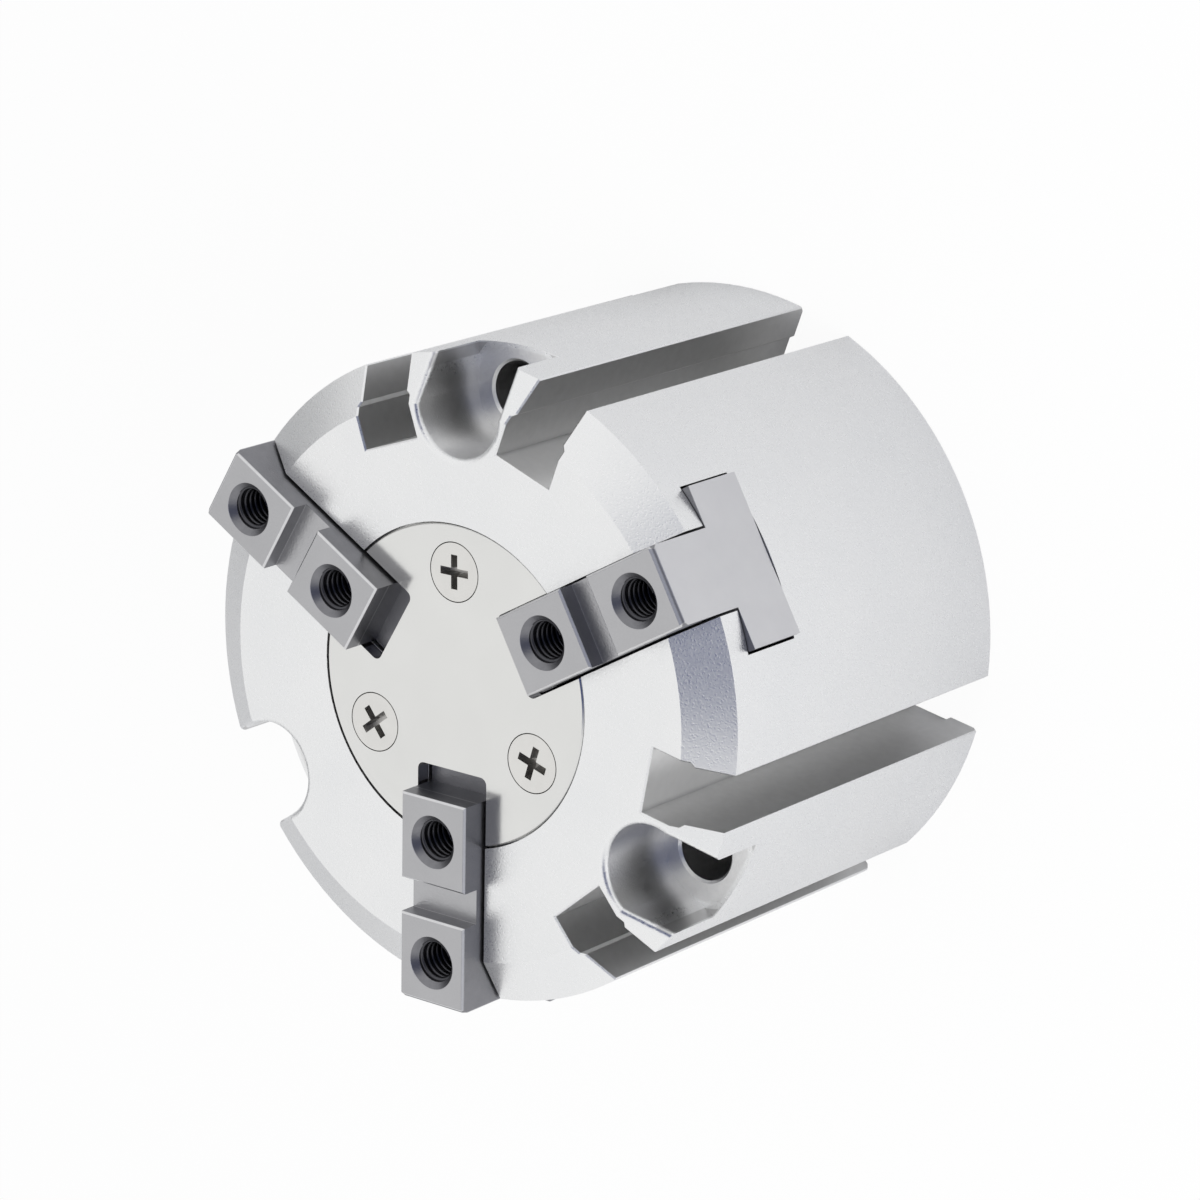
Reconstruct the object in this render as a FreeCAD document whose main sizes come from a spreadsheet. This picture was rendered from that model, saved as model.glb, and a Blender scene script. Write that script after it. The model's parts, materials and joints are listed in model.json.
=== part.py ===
# Three-jaw pneumatic gripper: a round housing with three radial T-slot jaws, driven by a wedge cam
# on a piston. The origin is the centre of the rear mounting face, +Z runs to the jaws, and jaw_2
# slides along +X. Everything is drawn with the jaws half open and the piston at mid stroke.
import FreeCAD
import Part

import math
import os

import Sketcher

# Driving sizes in millimetres, and angles in degrees. Depths are measured from the front face.
SIZES = {
    # housing
    "body_radius": 31.0,
    "body_length": 43.5,
    "front_bevel_width": 4.35,
    "front_bevel_height": 2.6,
    "rear_bevel": 0.3,
    "cylinder_wall": 11.0,
    "partition_thickness": 5.5,
    # pockets for the mounting bolts
    "bolt_circle_inset": 4.5,
    "bolt_pocket_radius": 4.75,
    "bolt_pocket_depth": 9.0,
    "bolt_hole_radius": 2.9,
    "bolt_pocket_rounding": 0.55,
    "bolt_hole_bevel": 0.25,
    "dowel_hole_radius": 1.5,
    "dowel_hole_depth": 4.0,
    # sensor grooves, one each side of two of the bolt pockets
    "groove_angle": 19.6,
    "groove_depth": 7.8,
    "groove_mouth_width": 5.7,
    "groove_inner_width": 6.5,
    "groove_inner_height": 4.0,
    "groove_shoulder_height": 0.4,
    "groove_rim_bevel": 0.15,
    # air ports
    "port_angle": 19.6,
    "port_thread_radius": 2.5,
    "port_thread_depth": 5.0,
    "port_face_radius": 4.2,
    "port_face_depth": 0.6,
    "port_passage_radius": 0.9,
    # cover plate in the front face
    "plate_radius": 15.45,
    "plate_thickness": 1.5,
    "plate_gap": 0.15,
    "notch_side_gap": 0.3,
    "notch_end_gap": 0.25,
    "notch_corner_radius": 0.7,
    "plate_bevel": 0.15,
    "plate_screw_circle_radius": 11.0,
    "screw_radius": 1.5,
    "screw_length": 4.6,
    "screw_head_radius": 2.8,
    "screw_rim_height": 0.2,
    "screw_gap": 0.05,
    "screw_recess_span": 3.3,
    "screw_recess_width": 0.75,
    "screw_recess_depth": 1.1,
    # jaws
    "jaw_width": 7.7,
    "jaw_rise": 2.75,
    "jaw_end_inset": 0.15,
    "jaw_block_length": 20.4,
    "jaw_root_radius": 5.4,
    "jaw_step_gap": 0.2,
    "jaw_flange_width": 15.8,
    "jaw_flange_depth": 5.3,
    "jaw_flange_height": 6.85,
    "jaw_side_gap": 0.25,
    "jaw_slide_gap": 0.08,
    "jaw_edge_bevel": 0.2,
    "jaw_end_bevel": 0.4,
    "key_groove_width": 3.4,
    "key_groove_depth": 1.9,
    "jaw_hole_spacing": 12.0,
    "jaw_thread_radius": 2.0,
    "jaw_thread_depth": 8.0,
    "jaw_sink_radius": 2.6,
    # wedge cam, its rod and the hooks of the jaws
    "piston_travel": 5.0,
    "cam_slope": 0.8,
    "cam_front_gap": 0.4,
    "cam_top_radius": 6.0,
    "cam_height": 10.0,
    "cam_crown_height": 3.6,
    "cam_crown_radius": 8.7,
    "cam_head_radius": 13.2,
    "cam_arm_width": 10.4,
    "cam_clearance": 0.3,
    "cam_face_gap": 0.12,
    "hook_lip": 1.9,
    "hook_slot_depth": 2.05,
    "hook_neck_width": 3.4,
    "hook_head_width": 5.2,
    "hook_gap": 0.13,
    "hook_side_gap": 0.15,
    "hook_end_radius": 3.9,
    "hook_bottom_gap": 0.5,
    "rod_radius": 6.0,
    "rod_gap": 0.05,
    "spigot_radius": 4.0,
    "spigot_length": 1.5,
    # piston and what it carries
    "piston_gap": 0.3,
    "ring_fit": 0.05,
    "bolt_radius": 2.5,
    "bolt_reach": 8.0,
    "bolt_head_radius": 4.25,
    "bolt_head_height": 2.9,
    "bolt_gasket_height": 0.5,
    "bolt_head_gap": 0.35,
    "bolt_head_inset": 0.2,
    "bolt_socket_span": 3.0,
    "bolt_socket_depth": 1.6,
    "piston_land": 0.6,
    "seal_height": 2.2,
    "seal_width": 2.5,
    "wear_ring_height": 1.8,
    "wear_ring_width": 1.0,
    "groove_play": 0.1,
    "magnet_height": 1.4,
    "magnet_width": 4.0,
    "magnet_holder_height": 0.5,
    "bumper_inner_radius": 12.0,
    "bumper_outer_radius": 16.0,
    "bumper_rise": 0.8,
    "bumper_seat": 0.8,
    "stop_gap": 0.05,
    # rod seal
    "rod_seal_width": 2.1,
    "rod_seal_height": 2.5,
    "rod_seal_cover": 1.4,
    # end cap and its retaining ring
    "cap_ledge": 1.0,
    "cap_gap": 0.05,
    "cap_thickness": 3.6,
    "cap_bevel": 0.3,
    "o_ring_cord_radius": 0.75,
    "o_ring_groove_depth": 1.6,
    "o_ring_groove_width": 1.9,
    "locating_depth": 1.5,
    "retaining_ring_thickness": 1.2,
    "retaining_ring_width": 2.5,
    "retaining_groove_depth": 1.0,
    "retaining_ring_play": 0.1,
    "retaining_ring_inner_offset": 0.3,
    "retaining_ring_half_opening": 12.0,
    "lug_angle": 17.5,
    "lug_inset": 2.0,
    "lug_radius": 1.8,
    "lug_hole_radius": 0.9,
}

JAW_ANGLES = {"jaw_1": 120, "jaw_2": 0, "jaw_3": 240}
SCREW_ANGLES = {"cover_screw_1": 60, "cover_screw_2": 180, "cover_screw_3": 300}
RECESS_TURNS = {"cover_screw_1": 1, "cover_screw_2": 8, "cover_screw_3": 13}
GROOVED_POCKET_ANGLES = (60, 300)
PORT_SIDE = 180
JAW_COUNT = 3
PAST = 1.0  # how far a cutting outline runs past the material


class Size:
    """A size with its number and the expression that binds it to the sheet."""

    def __init__(self, text, value):
        self.text = text
        self.value = value

    def __add__(self, other):
        return Size(f"({self.text} + {text_of(other)})", self.value + value_of(other))

    def __radd__(self, other):
        return Size(f"({text_of(other)} + {self.text})", value_of(other) + self.value)

    def __sub__(self, other):
        return Size(f"({self.text} - {text_of(other)})", self.value - value_of(other))

    def __rsub__(self, other):
        return Size(f"({text_of(other)} - {self.text})", value_of(other) - self.value)

    def __mul__(self, other):
        return Size(f"({self.text} * {text_of(other)})", self.value * value_of(other))

    def __rmul__(self, other):
        return Size(f"({text_of(other)} * {self.text})", value_of(other) * self.value)

    def __truediv__(self, other):
        return Size(f"({self.text} / {text_of(other)})", self.value / value_of(other))

    def __neg__(self):
        return Size(f"(0 - {self.text})", -self.value)


def text_of(size):
    return size.text if isinstance(size, Size) else repr(size)


def value_of(size):
    return size.value if isinstance(size, Size) else size


def cosine(angle):
    return Size(f"cos({text_of(angle)})", math.cos(math.radians(value_of(angle))))


def sine(angle):
    return Size(f"sin({text_of(angle)})", math.sin(math.radians(value_of(angle))))


class Named:
    """The driving sizes, one attribute for each cell of the sheet."""


doc = FreeCAD.newDocument("gripper")
sheet = doc.addObject("Spreadsheet::Sheet", "sizes")
d = Named()
for row, (alias, number) in enumerate(SIZES.items(), start=1):
    sheet.set(f"A{row}", alias)
    sheet.set(f"B{row}", str(number))
    sheet.setAlias(f"B{row}", alias)
    setattr(d, alias, Size(f"sizes.{alias}", number))
doc.recompute()

# Levels along the axis, from the front face down to the mounting face.
front = d.body_length
jaw_top = front + d.jaw_rise
plate_seat = front - d.plate_thickness
jaw_step = plate_seat - d.jaw_step_gap
flange_top = front - d.jaw_flange_depth
jaw_bottom = flange_top - d.jaw_flange_height
slot_floor = jaw_bottom - d.jaw_slide_gap
half_travel = d.piston_travel / 2
cam_top = plate_seat - d.cam_front_gap - half_travel
cam_shoulder = cam_top - d.cam_crown_height
cam_bottom = cam_top - d.cam_height
cavity_floor = cam_bottom - half_travel - d.cam_clearance
cylinder_top = cavity_floor - d.partition_thickness
piston_top = cylinder_top - d.bumper_rise - d.stop_gap - half_travel
retaining_ring_top = d.locating_depth + d.retaining_ring_thickness
cap_top = retaining_ring_top + d.cap_thickness
piston_bottom = cap_top + d.bumper_rise + d.stop_gap + half_travel

# Radii and half widths shared by pieces that fit each other.
cylinder_radius = d.body_radius - d.cylinder_wall
cap_bore_radius = cylinder_radius + d.cap_ledge
bolt_circle_radius = d.body_radius - d.bolt_circle_inset
groove_floor_radius = d.body_radius - d.groove_depth
jaw_outer_radius = d.body_radius - d.jaw_end_inset
jaw_inner_radius = jaw_outer_radius - d.jaw_block_length
key_groove_radius = jaw_outer_radius - d.jaw_block_length / 2
jaw_half_travel = half_travel * d.cam_slope
neck_half = d.jaw_width / 2
flange_half = d.jaw_flange_width / 2
notch_inner = jaw_inner_radius - jaw_half_travel - d.notch_end_gap
cavity_radius = d.cam_head_radius + d.cam_clearance
crown_bore = d.cam_crown_radius + d.cam_clearance
rod_bore = d.rod_radius + d.rod_gap
piston_radius = cylinder_radius - d.piston_gap
sliding_radius = cylinder_radius - d.ring_fit
retaining_groove = cap_bore_radius + d.retaining_groove_depth


def cam_face(level):
    """Radius of the cam's slanted driving face at a level, with the piston at mid stroke."""
    return d.cam_top_radius + (cam_top - level) * d.cam_slope


def cam_level(radius):
    """Level at which the cam's slanted driving face has this radius."""
    return cam_top - (radius - d.cam_top_radius) / d.cam_slope


def new_body(label, angle=None, radius=None):
    """A sub-part, turned about the axis by an angle and moved out along it by a radius."""
    body = doc.addObject("PartDesign::Body", label)
    body.Label = label
    if angle is not None:
        body.Placement.Rotation = FreeCAD.Rotation(FreeCAD.Vector(0, 0, 1), value_of(angle))
    if radius is not None:
        body.setExpression("Placement.Base.x", (radius * cosine(angle)).text)
        body.setExpression("Placement.Base.y", (radius * sine(angle)).text)
    return body


def origin_feature(body, role):
    for feature in body.Origin.OriginFeatures:
        if feature.Role == role:
            return feature
    raise LookupError(role)


def new_sketch(body, name, plane, lift=None, turn=None):
    """A sketch on an origin plane, lifted along its normal and turned in its own plane."""
    sketch = body.newObject("Sketcher::SketchObject", name)
    sketch.AttachmentSupport = (origin_feature(body, plane), [""])
    sketch.MapMode = "FlatFace"
    if lift is not None:
        sketch.setExpression("AttachmentOffset.Base.z", text_of(lift))
    if turn is not None:
        sketch.setExpression("AttachmentOffset.Rotation.Angle", text_of(turn))
    return sketch


def side_sketch(body, name, angle, distance):
    """A sketch facing outwards at an angle about the axis, at a distance from it."""
    sketch = new_sketch(body, name, "YZ_Plane")
    sketch.AttachmentOffset = FreeCAD.Placement(
        FreeCAD.Vector(0, 0, 0), FreeCAD.Rotation(FreeCAD.Vector(0, 1, 0), value_of(angle)))
    sketch.setExpression("AttachmentOffset.Rotation.Angle", text_of(angle))
    sketch.setExpression("AttachmentOffset.Base.x", (distance * sine(angle)).text)
    sketch.setExpression("AttachmentOffset.Base.z", (distance * cosine(angle)).text)
    return sketch


def bind(sketch, kind, *where, size):
    """A dimension of the sketch, bound to a size."""
    index = sketch.addConstraint(Sketcher.Constraint(kind, *where, value_of(size)))
    if isinstance(size, Size):
        sketch.setExpression(f"Constraints[{index}]", size.text)


def place_point(sketch, edge, point, x, y):
    """Holds a point of an edge at x and y from the sketch's origin."""
    for kind, axis, size in (("DistanceX", -2, x), ("DistanceY", -1, y)):
        if value_of(size) == 0:
            sketch.addConstraint(Sketcher.Constraint("PointOnObject", edge, point, axis))
        else:
            bind(sketch, kind, -1, 1, edge, point, size=size)


def polygon(sketch, points):
    corners = [FreeCAD.Vector(value_of(x), value_of(y), 0) for x, y in points]
    first = sketch.GeometryCount
    count = len(corners)
    for index in range(count):
        sketch.addGeometry(Part.LineSegment(corners[index], corners[(index + 1) % count]), False)
    for index in range(count):
        following = first + (index + 1) % count
        sketch.addConstraint(Sketcher.Constraint("Coincident", first + index, 2, following, 1))
    for index, (x, y) in enumerate(points):
        place_point(sketch, first + index, 1, x, y)
    return sketch


def circle(sketch, x, y, radius):
    centre = FreeCAD.Vector(value_of(x), value_of(y), 0)
    upward = FreeCAD.Vector(0, 0, 1)
    index = sketch.addGeometry(Part.Circle(centre, upward, value_of(radius)), False)
    place_point(sketch, index, 3, x, y)
    bind(sketch, "Radius", index, size=radius)
    return sketch


def bind_property(feature, name, size):
    if isinstance(size, Size):
        feature.setExpression(name, size.text)
    else:
        setattr(feature, name, size)


def revolve(body, name, points):
    """A turned solid: points are radius and level in the XZ plane."""
    sketch = polygon(new_sketch(body, f"{name}_section", "XZ_Plane"), points)
    feature = body.newObject("PartDesign::Revolution", name)
    feature.Profile = sketch
    feature.ReferenceAxis = (sketch, ["V_Axis"])
    feature.Angle = 360
    doc.recompute()
    return feature


def pad(body, name, sketch, length, symmetric=False, reverse=False):
    feature = body.newObject("PartDesign::Pad", name)
    feature.Profile = sketch
    feature.SideType = "Symmetric" if symmetric else "One side"
    feature.Reversed = reverse
    bind_property(feature, "Length", length)
    doc.recompute()
    return feature


def pocket(body, name, sketch, length, symmetric=False, reverse=False):
    """A cut, which has to take some material away."""
    volume = body.Tip.Shape.Volume
    feature = body.newObject("PartDesign::Pocket", name)
    feature.Profile = sketch
    feature.SideType = "Symmetric" if symmetric else "One side"
    feature.Reversed = reverse
    bind_property(feature, "Length", length)
    doc.recompute()
    if feature.Shape.Volume > volume - 1e-3:
        raise RuntimeError(f"{name} cuts nothing")
    return feature


def around(body, name, features, count=JAW_COUNT):
    """Repeats features round the axis."""
    pattern = body.newObject("PartDesign::PolarPattern", name)
    pattern.Originals = features
    pattern.Axis = (origin_feature(body, "Z_Axis"), [""])
    pattern.Angle = 360
    pattern.Occurrences = count
    body.Tip = pattern
    doc.recompute()
    return pattern


def edges_where(shape, chosen):
    """Names of the edges whose middle point passes a test."""
    names = []
    for index, edge in enumerate(shape.Edges, start=1):
        middle = edge.valueAt((edge.FirstParameter + edge.LastParameter) / 2)
        if chosen(edge, middle):
            names.append(f"Edge{index}")
    return names


def dress(body, name, kind, chosen, measure, size):
    """Works on the edges that pass a test."""
    base = body.Tip
    feature = body.newObject(kind, name)
    feature.Base = (base, edges_where(base.Shape, chosen))
    bind_property(feature, measure, size)
    doc.recompute()
    return feature


def bevel(body, name, chosen, size):
    return dress(body, name, "PartDesign::Chamfer", chosen, "Size", size)


def soften(body, name, chosen, size):
    return dress(body, name, "PartDesign::Fillet", chosen, "Radius", size)


def near(number, size):
    return abs(value_of(number) - value_of(size)) < 1e-3


# Housing


def housing_section():
    """Half section of the housing with its cover plate seat, cam cavity, cylinder and cap bore."""
    inner_bevel_radius = d.body_radius - d.front_bevel_width
    seat_radius = d.plate_radius + d.plate_gap
    seal_groove_radius = rod_bore + d.rod_seal_width
    seal_groove_bottom = cylinder_top + d.rod_seal_cover
    seal_groove_top = seal_groove_bottom + d.rod_seal_height + d.groove_play
    bumper_seat_top = cylinder_top + d.bumper_seat
    return [
        (cap_bore_radius, 0),
        (d.body_radius - d.rear_bevel, 0),
        (d.body_radius, d.rear_bevel),
        (d.body_radius, front - d.front_bevel_height),
        (inner_bevel_radius, front),
        (seat_radius, front),
        (seat_radius, plate_seat),
        (crown_bore, plate_seat),
        (crown_bore, slot_floor),
        (cavity_radius, slot_floor),
        (cavity_radius, cavity_floor),
        (rod_bore, cavity_floor),
        (rod_bore, seal_groove_top),
        (seal_groove_radius, seal_groove_top),
        (seal_groove_radius, seal_groove_bottom),
        (rod_bore, seal_groove_bottom),
        (rod_bore, cylinder_top),
        (d.bumper_inner_radius, cylinder_top),
        (d.bumper_inner_radius, bumper_seat_top),
        (d.bumper_outer_radius, bumper_seat_top),
        (d.bumper_outer_radius, cylinder_top),
        (cylinder_radius, cylinder_top),
        (cylinder_radius, cap_top),
        (cap_bore_radius, cap_top),
        (cap_bore_radius, retaining_ring_top + d.retaining_ring_play),
        (retaining_groove, retaining_ring_top + d.retaining_ring_play),
        (retaining_groove, d.locating_depth),
        (cap_bore_radius, d.locating_depth),
    ]


def t_outline(neck, flange, top, under_flange, bottom):
    """Outline of a T section, upside down, across a jaw or its slot."""
    return [
        (-neck, top),
        (-neck, under_flange),
        (-flange, under_flange),
        (-flange, bottom),
        (flange, bottom),
        (flange, under_flange),
        (neck, under_flange),
        (neck, top),
    ]


def cut_jaw_slots(body):
    """Three T-slots from the axis out through the side."""
    outline = t_outline(neck_half + d.jaw_side_gap, flange_half + d.jaw_side_gap,
                        front + PAST, flange_top + d.jaw_slide_gap, slot_floor)
    sketch = polygon(new_sketch(body, "jaw_slot_outline", "YZ_Plane"), outline)
    slot = pocket(body, "jaw_slot", sketch, d.body_radius + PAST, reverse=True)
    around(body, "jaw_slots", [slot])


def cut_bolt_pockets(body):
    """Three bolt pockets open to the side, their through holes and the cover screw holes."""
    outer_end = d.body_radius + PAST
    half = d.bolt_pocket_radius
    centre = bolt_circle_radius
    sketch = new_sketch(body, "bolt_pocket_outline", "XY_Plane", lift=front)
    arc = Part.Arc(FreeCAD.Vector(-centre.value, half.value, 0),
                   FreeCAD.Vector(half.value - centre.value, 0, 0),
                   FreeCAD.Vector(-centre.value, -half.value, 0))
    corners = [(-centre, half), (-outer_end, half), (-outer_end, -half), (-centre, -half)]
    ends = [FreeCAD.Vector(value_of(x), value_of(y), 0) for x, y in corners]
    for start, end in zip(ends, ends[1:]):
        sketch.addGeometry(Part.LineSegment(start, end), False)
    sketch.addGeometry(arc, False)
    sketch.addConstraint(Sketcher.Constraint("Coincident", 0, 2, 1, 1))
    sketch.addConstraint(Sketcher.Constraint("Coincident", 1, 2, 2, 1))
    place_point(sketch, 3, 3, -centre, 0)
    bind(sketch, "Radius", 3, size=half)
    for line, line_end, arc_end in ((0, 1, 2), (2, 2, 1)):
        sketch.addConstraint(Sketcher.Constraint("Tangent", line, line_end, 3, arc_end))
    for line in (0, 2):
        sketch.addConstraint(Sketcher.Constraint("Horizontal", line))
    bind(sketch, "DistanceX", -1, 1, 1, 1, size=-outer_end)
    bind(sketch, "DistanceX", -1, 1, 1, 2, size=-outer_end)
    head_pocket = pocket(body, "bolt_pocket", sketch, d.bolt_pocket_depth)
    sketch = circle(new_sketch(body, "bolt_hole_outline", "XY_Plane", lift=front),
                    -centre, 0, d.bolt_hole_radius)
    through = pocket(body, "bolt_hole", sketch, d.body_length)
    sketch = circle(new_sketch(body, "screw_hole_outline", "XY_Plane", lift=plate_seat),
                    -d.plate_screw_circle_radius, 0, d.screw_radius + d.screw_gap)
    screw_hole = pocket(body, "screw_hole", sketch, d.screw_length - d.plate_thickness + d.screw_gap * 2)
    around(body, "front_holes", [head_pocket, through, screw_hole])


def cut_sensor_grooves(body):
    """Full-length grooves with a wider inner part that holds a sensor by its flanges."""
    inner = d.groove_inner_width / 2
    mouth = d.groove_mouth_width / 2
    shoulder = groove_floor_radius + d.groove_inner_height
    lip = shoulder + d.groove_shoulder_height
    outside = d.body_radius + PAST
    outline = [
        (groove_floor_radius, -inner),
        (shoulder, -inner),
        (lip, -mouth),
        (outside, -mouth),
        (outside, mouth),
        (lip, mouth),
        (shoulder, inner),
        (groove_floor_radius, inner),
    ]
    for pocket_angle in GROOVED_POCKET_ANGLES:
        for side in (-1, 1):
            name = f"sensor_groove_{pocket_angle}_{'left' if side > 0 else 'right'}"
            turn = pocket_angle + side * d.groove_angle
            sketch = polygon(new_sketch(body, f"{name}_outline", "XY_Plane", turn=turn), outline)
            pocket(body, name, sketch, d.body_length, reverse=True)


def cut_air_ports(body):
    """Two threaded ports with spot faces, one for each end of the cylinder."""
    spot = d.body_radius - d.port_face_depth
    reach = spot - cylinder_radius + PAST
    rear_level = cap_top + d.port_passage_radius * 1.1
    front_level = cylinder_top - d.port_passage_radius * 1.1
    ports = {"rear_port": (PORT_SIDE + d.port_angle, rear_level),
             "front_port": (PORT_SIDE - d.port_angle, front_level)}
    for name, (angle, level) in ports.items():
        face = circle(side_sketch(body, f"{name}_face_outline", angle, d.body_radius + PAST),
                      0, level, d.port_face_radius)
        pocket(body, f"{name}_face", face, d.port_face_depth + PAST)
        thread = circle(side_sketch(body, f"{name}_thread_outline", angle, spot),
                        0, level, d.port_thread_radius)
        pocket(body, f"{name}_thread", thread, d.port_thread_depth)
        passage = circle(side_sketch(body, f"{name}_passage_outline", angle, spot),
                         0, level, d.port_passage_radius)
        pocket(body, f"{name}_passage", passage, reach)


def build_housing():
    body = new_body("body")
    revolve(body, "turned_blank", housing_section())
    cut_jaw_slots(body)
    cut_bolt_pockets(body)
    cut_sensor_grooves(body)
    cut_air_ports(body)
    sketch = circle(new_sketch(body, "dowel_hole_outline", "XY_Plane"),
                    bolt_circle_radius, 0, d.dowel_hole_radius)
    pocket(body, "dowel_hole", sketch, d.dowel_hole_depth, reverse=True)

    def on_pocket_rim(edge, middle):
        """Edges where the wall of a bolt pocket meets the front face or its bevel."""
        if middle.z < front.value - d.front_bevel_height.value + 1e-3:
            return False
        for angle in SCREW_ANGLES.values():
            turn = math.radians(angle)
            along = middle.x * math.cos(turn) + middle.y * math.sin(turn)
            across = middle.y * math.cos(turn) - middle.x * math.sin(turn)
            from_centre = math.hypot(along - bolt_circle_radius.value, across)
            on_arc = near(from_centre, d.bolt_pocket_radius)
            on_wall = near(abs(across), d.bolt_pocket_radius) and along > bolt_circle_radius.value
            if on_arc or on_wall:
                return True
        return False

    def on_groove_rim(edge, middle):
        """Edges where a sensor groove meets the front of the housing or its round side."""
        rise = abs(edge.Vertexes[0].Z - edge.Vertexes[-1].Z)
        lengthwise = rise > d.front_bevel_height.value + 1e-3
        on_round_side = near(math.hypot(middle.x, middle.y), d.body_radius)
        if near(middle.z, 0) or (lengthwise and not on_round_side):
            return False
        for pocket_angle in GROOVED_POCKET_ANGLES:
            for side in (-1, 1):
                turn = math.radians(pocket_angle + side * d.groove_angle.value)
                along = middle.x * math.cos(turn) + middle.y * math.sin(turn)
                across = abs(middle.y * math.cos(turn) - middle.x * math.sin(turn))
                from_mouth_wall = across - d.groove_mouth_width.value / 2
                from_inner_wall = across - d.groove_inner_width.value / 2
                on_floor = near(along, groove_floor_radius) and from_inner_wall < 0
                beside = from_mouth_wall > -1e-3 and from_inner_wall < 1e-3
                if on_floor or (beside and along > groove_floor_radius.value):
                    return True
        return False

    def on_bolt_hole(edge, middle):
        around_hole = near(edge.Length, d.bolt_hole_radius * math.tau)
        return around_hole and near(middle.z, front - d.bolt_pocket_depth)

    bevel(body, "groove_rims", on_groove_rim, d.groove_rim_bevel)
    soften(body, "bolt_pocket_rims", on_pocket_rim, d.bolt_pocket_rounding)
    bevel(body, "bolt_hole_rims", on_bolt_hole, d.bolt_hole_bevel)
    return body


# Cover plate and its screws


def build_cover_plate():
    body = new_body("cover_plate")
    sketch = circle(new_sketch(body, "plate_outline", "XY_Plane", lift=front), 0, 0, d.plate_radius)
    pad(body, "plate", sketch, d.plate_thickness, reverse=True)
    half = neck_half + d.notch_side_gap
    outside = d.plate_radius + PAST
    outline = [(notch_inner, -half), (outside, -half), (outside, half), (notch_inner, half)]
    sketch = polygon(new_sketch(body, "notch_outline", "XY_Plane", lift=front), outline)
    notch = pocket(body, "notch", sketch, d.plate_thickness)
    around(body, "notches", [notch])

    def in_notch_corner(edge, middle):
        return (near(edge.Length, d.plate_thickness)
                and near(math.hypot(middle.x, middle.y), math.hypot(notch_inner.value, half.value)))

    soften(body, "notch_corners", in_notch_corner, d.notch_corner_radius)
    sink_top = d.screw_head_radius + d.screw_gap * 2
    sink_bottom = d.screw_radius + d.screw_gap * 2
    rim = front - d.screw_rim_height

    def on_plate_rim(edge, middle):
        return near(middle.z, front) and near(math.hypot(middle.x, middle.y), d.plate_radius)

    bevel(body, "plate_rim", on_plate_rim, d.plate_bevel)
    section = [
        (0, front + PAST),
        (sink_top, front + PAST),
        (sink_top, rim),
        (sink_bottom, rim - (sink_top - sink_bottom)),
        (sink_bottom, plate_seat - PAST),
        (0, plate_seat - PAST),
    ]
    sketch = new_sketch(body, "screw_sink_section", "XZ_Plane")
    polygon(sketch, [(x - d.plate_screw_circle_radius, y) for x, y in section])
    sink = body.newObject("PartDesign::Groove", "screw_sink")
    sink.Profile = sketch
    sink.ReferenceAxis = (sketch, ["Edge6"])
    sink.Angle = 360
    doc.recompute()
    around(body, "screw_sinks", [sink])
    return body


def build_cover_screw(label, angle, recess_turn):
    """Countersunk screw with a cross recess, its head flush with the plate."""
    body = new_body(label, angle=angle, radius=d.plate_screw_circle_radius)
    rim = front - d.screw_rim_height
    tip = front - d.screw_length
    chamfer = d.screw_radius / 4
    revolve(body, f"{label}_turned", [
        (0, front),
        (d.screw_head_radius, front),
        (d.screw_head_radius, rim),
        (d.screw_radius, rim - (d.screw_head_radius - d.screw_radius)),
        (d.screw_radius, tip + chamfer),
        (d.screw_radius - chamfer, tip),
        (0, tip),
    ])
    arm = d.screw_recess_span / 2
    half = d.screw_recess_width / 2
    sketch = new_sketch(body, f"{label}_recess_outline", "XY_Plane", lift=front, turn=recess_turn)
    polygon(sketch, [
        (half, half), (half, arm), (-half, arm), (-half, half), (-arm, half), (-arm, -half),
        (-half, -half), (-half, -arm), (half, -arm), (half, -half), (arm, -half), (arm, half),
    ])
    recess = pocket(body, f"{label}_recess", sketch, d.screw_recess_depth)
    recess.TaperAngle = -8
    doc.recompute()
    return body


# Jaws


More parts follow.
